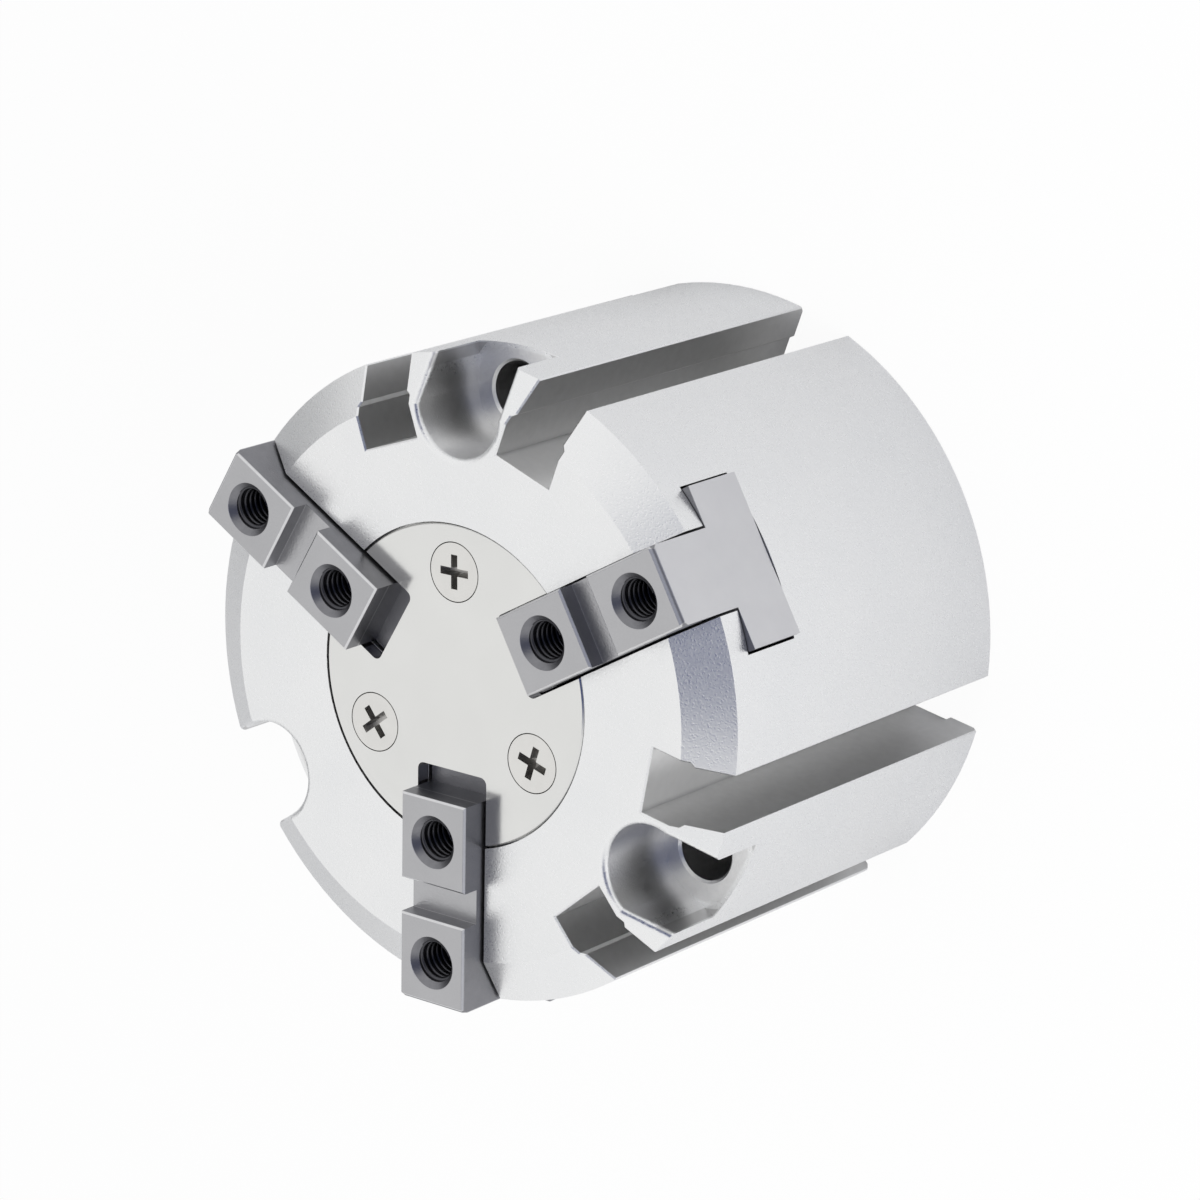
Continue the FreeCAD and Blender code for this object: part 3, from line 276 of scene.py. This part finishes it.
jawSpec = {
    # degrees
    "angles": {"jaw_1": 120, "jaw_2": 0, "jaw_3": 240},
    # millimetres: the holes' middle and distance along the jaw, their countersink, the ground end, half the
    # width, the blocks' bevel, the key groove's depth below their tops, and how deep the flanks' finish goes
    "holeCentre": 20.65, "holeSpacing": 12.0, "sinkRadius": 2.6, "endDepth": 0.2, "halfWidth": 3.85,
    "edgeBevel": 0.2, "keyDepth": 1.9, "flankSkin": 0.06,
    "top": {"colour": "#B9B9BB", "tint": "#AFAFB1", "roughness": 0.34, "spread": 0.05, "grainMm": 0.18,
            "bumpMm": 0.021, "cloudMm": 5.0},
    "edge": {"colour": "#DCDCDD", "tint": "#CDCDCF", "roughness": 0.3, "spread": 0.04, "mottleMm": 0.5,
             "grainShare": 0.3, "skinMm": 0.015},
    "shadedFlank": {"colour": "#929296", "tint": "#858589", "roughness": 0.38, "spread": 0.04, "mottleMm": 1.5,
                   "grainShare": 1.0, "skinMm": 0.02},
    "groundEnd": {"colour": "#D2D2D4", "tint": "#C9C9CC", "roughness": 0.3, "spread": 0.04, "mottleMm": 3.0,
                  "grainShare": 0.2, "skinMm": 0.1},
    "holeShade": {"colour": "#8A8A8E", "tint": "#77777B", "roughness": 0.36, "spread": 0.04, "mottleMm": 0.6,
             "grainShare": 0.5, "skinMm": 0.02},
}
# hardened steel with fine blasted tops: even mid grey with dull gloss
jawSteel = satinMetal("hardenedJawSteel", jawSpec["top"])
jawTree = jawSteel.node_tree
jawPlace = objectCoords(jawTree)
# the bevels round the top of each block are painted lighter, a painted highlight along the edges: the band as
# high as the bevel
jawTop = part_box("jaw_2")[1][2]
underTop = sumOf(jawTree, jawPlace, (0, 0, -1), jawTop)
overBevel = sumOf(jawTree, jawPlace, (0, 0, 1), jawSpec["edgeBevel"] / 1000 - jawTop)
secondFinish(jawSteel, extremeOf(jawTree, "MINIMUM", [underTop, overBevel]), jawSpec["edge"])
# the flanks and the ends of the blocks are painted darker than the tops, as painted shade on the sides; the
# floor of the key groove keeps the finish of the tops. A flank lies half a width away from the middle of its
# own jaw, and the other jaws' middles are always farther
acrossJaws = []
for turn in jawSpec["angles"].values():
    across = sumOf(jawTree, jawPlace, (*onCircle(1, turn + 90), 0), 0)
    acrossJaws.append(addNode(jawTree, "ShaderNodeMath", {"operation": "ABSOLUTE"}, {"0": across}).outputs[0])
flank = (jawSpec["halfWidth"] - jawSpec["flankSkin"]) / 1000
farAcross = addNode(jawTree, "ShaderNodeMath", {"operation": "SUBTRACT", "in:1": flank},
                    {"0": extremeOf(jawTree, "MINIMUM", acrossJaws)}).outputs[0]
overFloor = sumOf(jawTree, jawPlace, (0, 0, 1), jawSpec["keyDepth"] / 1000 - jawTop)
fromFloor = addNode(jawTree, "ShaderNodeMath", {"operation": "ABSOLUTE"}, {"0": overFloor}).outputs[0]
offFloor = addNode(jawTree, "ShaderNodeMath", {"operation": "SUBTRACT", "in:1": jawSpec["flankSkin"] / 1000},
                   {"0": fromFloor}).outputs[0]
shadedSides = extremeOf(jawTree, "MAXIMUM", [farAcross, offFloor])
underBevels = sumOf(jawTree, jawPlace, (0, 0, -1), jawTop - jawSpec["edgeBevel"] / 1000)
secondFinish(jawSteel, extremeOf(jawTree, "MINIMUM", [shadedSides, underBevels]), jawSpec["shadedFlank"])
# the outer end of each jaw is ground after hardening, so it is paler: it is the plane farthest along the jaw
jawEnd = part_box("jaw_2")[1][0] - jawSpec["endDepth"] / 1000
alongJaws = [sumOf(jawTree, jawPlace, (*onCircle(1, turn), 0), -jawEnd)
             for turn in jawSpec["angles"].values()]
secondFinish(jawSteel, extremeOf(jawTree, "MAXIMUM", alongJaws), jawSpec["groundEnd"])
# the countersinks and walls of the jaw holes are painted darker: painted shade in the holes
jawReaches = [jawSpec["holeCentre"] + side * jawSpec["holeSpacing"] / 2 for side in (-1, 1)]
jawHoles = [onCircle(reach, turn) for turn in jawSpec["angles"].values() for reach in jawReaches]
inJawHoles = withinHoles(jawTree, flatPlace(jawTree, jawPlace), jawHoles, jawSpec["sinkRadius"])
secondFinish(jawSteel, inJawHoles, jawSpec["holeShade"])

screwSpec = {
    "head": {"colour": "#E0DFDC", "tint": "#D6D5D2", "roughness": 0.2, "spread": 0.05, "grainMm": 0.15,
             "bumpMm": 0.002, "cloudMm": 2.0},
    "recess": {"colour": "#C4C3C0", "tint": "#ACAAA7", "roughness": 0.38, "spread": 0.05, "mottleMm": 0.5,
               "grainShare": 1.0, "skinMm": 0.12},
}
# cold-formed stainless screw: a little darker and duller than the plate
screwSteel = satinMetal("coldFormedStainlessScrew", screwSpec["head"])
# the cross recess, below the flat top of the head, is painted darker: painted shade in the recess
screwTree = screwSteel.node_tree
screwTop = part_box("cover_screw_1")[1][2]
underScrewTop = sumOf(screwTree, objectCoords(screwTree), (0, 0, -1), screwTop)
secondFinish(screwSteel, underScrewTop, screwSpec["recess"])

# ground tool steel: dark grey and fairly glossy
camSpec = {"colour": "#8B8B8E", "tint": "#7E7F83", "roughness": 0.28, "spread": 0.05, "grainMm": 0.2,
           "bumpMm": 0.002, "cloudMm": 6.0}
camSteel = satinMetal("groundCamSteel", camSpec)
# turned aluminium: bright with soft gloss
pistonSpec = {"colour": "#D4D5D6", "tint": "#C6C7C9", "roughness": 0.26, "spread": 0.06, "grainMm": 0.2,
              "bumpMm": 0.003, "cloudMm": 6.0}
turnedAluminium = satinMetal("turnedAluminium", pistonSpec)
# brass holder: yellow with dull gloss
holderSpec = {"colour": "#C9A45C", "tint": "#B9924A", "roughness": 0.27, "spread": 0.05, "grainMm": 0.2,
              "bumpMm": 0.003, "cloudMm": 5.0}
holderBrass = satinMetal("turnedBrass", holderSpec)
# phosphated spring steel: nearly black, dull
ringSpec = {"colour": "#4A4948", "tint": "#3B3A3A", "roughness": 0.42, "spread": 0.08, "grainMm": 0.15,
            "bumpMm": 0.004, "cloudMm": 4.0, "metallic": 0.9}
springSteel = satinMetal("phosphatedSpringSteel", ringSpec)


def matteSolid(name, finish):
    # rubber or plastic: no metal, slightly mottled, with a moulded skin
    material, tree, shader = newMaterial(name)
    grain = addNode(tree, "ShaderNodeTexNoise", {"in:Scale": perMetre(finish["grainMm"]),
                    "in:Detail": patternSpec["mottleDetail"]}, {"Vector": objectCoords(tree)})
    tone = addNode(tree, "ShaderNodeMix", {"data_type": "RGBA", "in:6": linearColour(finish["colour"]),
                   "in:7": linearColour(finish["tint"])}, {"Factor": grain.outputs["Fac"]})
    bump = addNode(tree, "ShaderNodeBump", {"in:Strength": 1.0, "in:Distance": finish["bumpMm"] / 1000},
                   {"Height": grain.outputs["Fac"]})
    tree.links.new(tone.outputs[2], shader.inputs["Base Color"])
    tree.links.new(bump.outputs[0], shader.inputs["Normal"])
    shader.inputs["Roughness"].default_value = finish["roughness"]
    return material


# nitrile rubber: near black with a soft moulded skin
sealSpec = {"colour": "#1B1B1C", "tint": "#262627", "roughness": 0.62, "grainMm": 0.6, "bumpMm": 0.006}
sealRubber = matteSolid("mouldedNitrile", sealSpec)
# filled acetal: off-white, waxy
wearSpec = {"colour": "#DCD6C6", "tint": "#CFC9B8", "roughness": 0.45, "grainMm": 0.5, "bumpMm": 0.003}
wearPlastic = matteSolid("filledAcetal", wearSpec)
# plastic bonded magnet: charcoal, slightly grainy
magnetSpec = {"colour": "#3A3837", "tint": "#2C2B2B", "roughness": 0.5, "grainMm": 0.3, "bumpMm": 0.006}
bondedMagnet = matteSolid("bondedMagnet", magnetSpec)

slotMaterials = {
    "hard_anodised_aluminium": blastedAluminium,
    "plate_metal": groundPlate,
    "screw_steel": screwSteel,
    "jaw_steel": jawSteel,
    "cam_steel": camSteel,
    "piston_aluminium": turnedAluminium,
    "seal_rubber": sealRubber,
    "wear_plastic": wearPlastic,
    "magnet": bondedMagnet,
    "holder_brass": holderBrass,
    "spring_steel": springSteel,
}
slotOf = {part["node"]: part["material_slot"] for part in record["subparts"]}
for nodeName, nodeObject in frame["nodes"].items():
    for index in range(len(nodeObject.material_slots)):
        nodeObject.material_slots[index].material = slotMaterials[slotOf[nodeName]]
print("materials:", len(slotMaterials))


# the screw threads in the jaw holes
threadSpec = {
    # millimetres: the hole's wall, the ridge's crest and first rise, and how deep its back lies in the steel
    "wall": 2.0, "crest": 1.66, "rise": 0.02, "buried": 0.06, "pitch": 0.7, "top": 45.6, "bottom": 38.4,
    "flat": 0.07, "fill": 0.47,  # half the widths of the ridge's crest and of its foot, in pitches
    "steps": 48, "growth": 0.5,  # steps in a turn, and turns over which the ridge grows and fades
    "finish": {"colour": "#545458", "tint": "#454549", "roughness": 0.34, "spread": 0.06, "grainMm": 0.2,
               "bumpMm": 0.003, "cloudMm": 2.0},
}
# tapped steel, painted dark: painted shade that keeps the holes looking deep
shadedTappedSteel = satinMetal("shadedTappedJawSteel", threadSpec["finish"])


def threadCoil(name, body, centreX, centreY):
    # a V-shaped ridge carried along a helix that goes down by one pitch a turn: at each step the V's four
    # corners stand at the radii of its back, crest, crest and back, lifted by its half widths; the crest
    # grows out of the wall over the first half turn and fades into it over the last
    spec = threadSpec
    turns = (spec["top"] - spec["bottom"]) / spec["pitch"]
    count = int(turns * spec["steps"]) + 1
    turn = np.linspace(0, turns, count)
    grown = np.clip(np.minimum(turn, turns - turn) / spec["growth"], 0, 1)
    back = spec["wall"] + spec["buried"]
    crest = spec["wall"] + spec["rise"] + (spec["crest"] - spec["wall"] - spec["rise"]) * grown
    radius = np.stack([np.full(count, back), crest, crest, np.full(count, back)], axis=1)
    lift = np.array([-spec["fill"], -spec["flat"], spec["flat"], spec["fill"]]) * spec["pitch"]
    level = spec["top"] - turn[:, None] * spec["pitch"] + lift[None, :]
    angle = turn[:, None] * 2 * np.pi
    points = np.stack([centreX + radius * np.cos(angle), centreY + radius * np.sin(angle), level], axis=2)
    points = points / 1000
    faces = tubeFaces(count, points.shape[1])
    piece = newPiece(name, points.reshape(-1, 3), faces, body, shadedTappedSteel)
    closeEnds(piece.data)


def closeEnds(mesh):
    # closes the open ends of a carried profile and turns every face outwards
    shape = bmesh.new()
    shape.from_mesh(mesh)
    ends = [edge for edge in shape.edges if edge.is_boundary]
    bmesh.ops.holes_fill(shape, edges=ends, sides=0)
    bmesh.ops.recalc_face_normals(shape, faces=shape.faces)
    shape.to_mesh(mesh)
    shape.free()


bodyOf = {node: body for body, nodes in record["behaviour"]["bodies"].items() for node in nodes}
for jawName, jawAngle in jawSpec["angles"].items():
    for reach, label in zip(jawReaches, ("inner", "outer")):
        threadCoil(f"{jawName}_{label}_thread", bodyOf[jawName], *onCircle(reach, jawAngle))
print("threads cut in the jaw holes")


# the floor, in metres; the lifts are shares of white
floorSpec = {
    "half": 1.6, "level": -0.00003, "colour": "#DADADA", "roughness": 0.9,
    "white": "#FFFFFF", "seenLift": 0.94, "mirroredLift": 0.12,
}
floorMesh = bpy.data.meshes.new("studioFloor")
half = floorSpec["half"]
corners = [(-half, -half, floorSpec["level"]), (half, -half, floorSpec["level"]),
           (half, half, floorSpec["level"]), (-half, half, floorSpec["level"])]
floorMesh.from_pydata(corners, [], [(0, 1, 2, 3)])
floorObject = bpy.data.objects.new("studioFloor", floorMesh)
bpy.context.scene.collection.objects.link(floorObject)
# studio paper: dull white; seen by the camera and in the metals it is lifted towards white, and still
# takes the object's shadow
floorMaterial, floorTree, floorShader = newMaterial("paleStudioPaper")
floorShader.inputs["Base Color"].default_value = linearColour(floorSpec["colour"])
floorShader.inputs["Roughness"].default_value = floorSpec["roughness"]
rays = addNode(floorTree, "ShaderNodeLightPath")
mirrored = addNode(floorTree, "ShaderNodeMath", {"operation": "MULTIPLY", "in:1": floorSpec["mirroredLift"]},
                   {"0": rays.outputs["Is Glossy Ray"]})
amount = addNode(floorTree, "ShaderNodeMath", {"operation": "MULTIPLY_ADD", "in:1": floorSpec["seenLift"]},
                 {"0": rays.outputs["Is Camera Ray"], "2": mirrored.outputs[0]})
lifted = addNode(floorTree, "ShaderNodeEmission", {"in:Color": linearColour(floorSpec["white"]),
                 "in:Strength": 1.0})
blend = addNode(floorTree, "ShaderNodeMixShader", links={"0": amount.outputs[0], "1": floorShader.outputs[0],
                "2": lifted.outputs[0]})
# from below the paper can be seen through, so the rear face of the object shows
clear = addNode(floorTree, "ShaderNodeBsdfTransparent")
side = addNode(floorTree, "ShaderNodeNewGeometry").outputs["Backfacing"]
paper = addNode(floorTree, "ShaderNodeMixShader", links={"0": side, "1": blend.outputs[0],
                "2": clear.outputs[0]})
floorTree.links.new(paper.outputs[0], floorTree.nodes["Material Output"].inputs["Surface"])
floorMesh.materials.append(floorMaterial)

# the room: a white tent, with a dim lavender opening round the camera and a greyer wall behind the object;
# core and edge in degrees
worldSpec = {
    "strength": 1.0, "white": "#FEFEFE",
    "opening": {"side": (0.60, -0.24, 0.76), "core": 17, "edge": 37, "colour": "#50597E"},
    "backWall": {"side": (-0.93, 0.30, -0.08), "core": 22, "edge": 44, "colour": "#9FA0A2"},
}
world = bpy.data.worlds.new("studioWorld")
bpy.context.scene.world = world
world.use_nodes = True
worldTree = world.node_tree
worldTree.nodes.clear()
around = addNode(worldTree, "ShaderNodeTexCoord")
tent = addNode(worldTree, "ShaderNodeRGB").outputs[0]
tent.default_value = linearColour(worldSpec["white"])
for area in (worldSpec["opening"], worldSpec["backWall"]):
    # full colour within the core angle of its side, gone at the edge angle
    facing = addNode(worldTree, "ShaderNodeVectorMath", {"operation": "DOT_PRODUCT",
                     "in:1": Vector(area["side"]).normalized()}, {"0": around.outputs["Generated"]})
    angle = addNode(worldTree, "ShaderNodeMath", {"operation": "ARCCOSINE"}, {"0": facing.outputs["Value"]})
    share = addNode(worldTree, "ShaderNodeMapRange", {"interpolation_type": "SMOOTHSTEP",
                    "in:From Min": math.radians(area["edge"]), "in:From Max": math.radians(area["core"])},
                    {"Value": angle.outputs[0]})
    tent = addNode(worldTree, "ShaderNodeMix", {"data_type": "RGBA", "in:7": linearColour(area["colour"])},
                   {"Factor": share.outputs[0], "6": tent}).outputs[2]
ambient = addNode(worldTree, "ShaderNodeBackground", {"in:Strength": worldSpec["strength"]}, {"Color": tent})
white = addNode(worldTree, "ShaderNodeBackground", {"in:Color": linearColour("#FFFFFF"), "in:Strength": 1.0})
look = addNode(worldTree, "ShaderNodeLightPath")
sky = addNode(worldTree, "ShaderNodeMixShader", links={"0": look.outputs["Is Camera Ray"],
              "1": ambient.outputs[0], "2": white.outputs[0]})
addNode(worldTree, "ShaderNodeOutputWorld", links={"Surface": sky.outputs[0]})

# one soft lamp, in metres and watts
lampSpecs = {
    "sideSoftbox": {"place": (0.30, -0.18, 0.26), "aim": (0, 0, 0.02), "size": 0.22, "power": 1.3},
}
for lampName, spec in lampSpecs.items():
    lamp = bpy.data.lights.new(lampName, "AREA")
    lamp.shape = "SQUARE"
    lamp.size = spec["size"]
    lamp.energy = spec["power"]
    lampObject = bpy.data.objects.new(lampName, lamp)
    place = Vector(spec["place"])
    aim = (Vector(spec["aim"]) - place).to_track_quat("-Z", "Y").to_matrix().to_4x4()
    lampObject.matrix_world = Matrix.Translation(place) @ aim
    lampObject.visible_glossy = False  # it lights the paper; the metal shows only the tent
    bpy.context.scene.collection.objects.link(lampObject)

# the camera's place and turn fit the photograph: place and nearest in metres, lens and sensor in millimetres
cameraSpec = {
    "place": (0.2990528, -0.0209227, 0.3678619),
    "right": (0.6898806, -0.3766056, -0.6182499),
    "up": (0.3178379, 0.9248845, -0.2087287),
    "lens": 142.59, "sensor": 36.0, "nearest": 0.01,
}
camera = bpy.data.cameras.new("photoCamera")
camera.lens = cameraSpec["lens"]
camera.sensor_width = cameraSpec["sensor"]
camera.clip_start = cameraSpec["nearest"]
cameraObject = bpy.data.objects.new("photoCamera", camera)
right = Vector(cameraSpec["right"]).normalized()
up = Vector(cameraSpec["up"]).normalized()
back = right.cross(up)
turned = Matrix((right, up, back)).transposed().to_4x4()
cameraObject.matrix_world = Matrix.Translation(Vector(cameraSpec["place"])) @ turned
bpy.context.scene.collection.objects.link(cameraObject)
bpy.context.scene.camera = cameraObject
bpy.context.scene.view_settings.view_transform = "Standard"
print("floor, room, lamp and camera are set")
